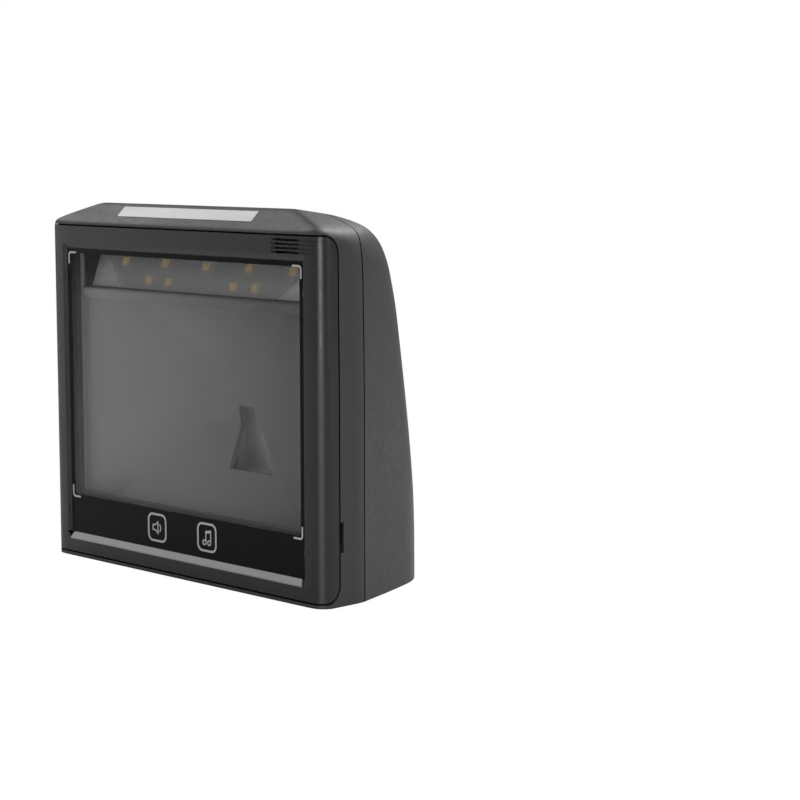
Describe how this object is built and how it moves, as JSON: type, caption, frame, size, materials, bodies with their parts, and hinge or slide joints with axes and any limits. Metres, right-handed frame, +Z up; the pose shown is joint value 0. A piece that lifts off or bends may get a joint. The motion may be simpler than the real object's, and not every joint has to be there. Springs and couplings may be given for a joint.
{
  "type": "presentation barcode scanner",
  "caption": "Upright counter-top presentation scanner with a glass window, touch keys, indicator bar, speaker grille and a hinged cable cover at the back.",
  "frame": {"origin": "under the middle of the scanner's outer box, at counter level", "axes": "+X across the width to the viewer's right when facing the window, +Y from the window to the back, +Z up"},
  "size_m": [0.156, 0.0762, 0.1412],
  "materials": {
    "housing_plastic": "fine texture",
    "inner_plastic": "matt",
    "shroud_plastic": "matt",
    "glass": "clear",
    "black_print": "gloss",
    "light_print": "printed",
    "foam": "closed cell foam",
    "silver_trim": "satin",
    "white_lens": "translucent",
    "clear_plastic": "clear",
    "board": "solder mask",
    "white_board": "white solder mask",
    "led": "phosphor",
    "chip": "moulded epoxy",
    "gold": "plated",
    "steel": "zinc plated",
    "aluminium": "plain",
    "brass": "knurled",
    "copper": "enamelled wire",
    "flex": "polyimide film",
    "rubber": "matt",
    "label": "blank film"
  },
  "bodies": {
    "housing": {"front_bezel": "housing_plastic", "mid_housing": "housing_plastic", "rear_cover": "housing_plastic", "base_plate": "inner_plastic", "window_glass": "glass", "window_mask": "black_print", "window_gasket": "foam", "window_retainer": "inner_plastic", "retainer_screws": "steel", "corner_marks": "light_print", "volume_key_mark": "light_print", "tone_key_mark": "light_print", "silver_trim": "silver_trim", "touch_board": "board", "indicator_lens": "white_lens", "light_guide": "clear_plastic", "indicator_board": "white_board", "indicator_leds": "led", "speaker_frame": "inner_plastic", "speaker_cone": "black_print", "speaker_magnet": "steel", "speaker_mesh": "steel", "optical_shroud": "shroud_plastic", "led_board": "white_board", "scan_leds": "led", "led_cover": "clear_plastic", "imager_hood": "shroud_plastic", "imager_bracket": "inner_plastic", "imager_board": "board", "image_sensor": "chip", "lens_barrel": "chip", "imager_lens": "glass", "imager_screws": "steel", "main_board": "board", "processor": "chip", "memory_chips": "chip", "board_capacitors": "aluminium", "board_screws": "steel", "data_socket": "inner_plastic", "data_contacts": "gold", "power_socket": "inner_plastic", "power_contacts": "gold", "imager_flex": "flex", "led_flex": "flex", "antenna_loop": "copper", "rubber_feet": "rubber", "case_screws": "steel", "threaded_inserts": "brass", "rating_label": "label"},
    "cable_cover": {"cable_cover": "housing_plastic"}
  },
  "joints": [
    {"name": "cable_cover_hinge", "type": "hinge", "parent": "housing", "child": "cable_cover", "pos_m": [0, 0.0343, 0.00405], "axis": [-1, 0, 0], "range_deg": [0, 75]}
  ]
}
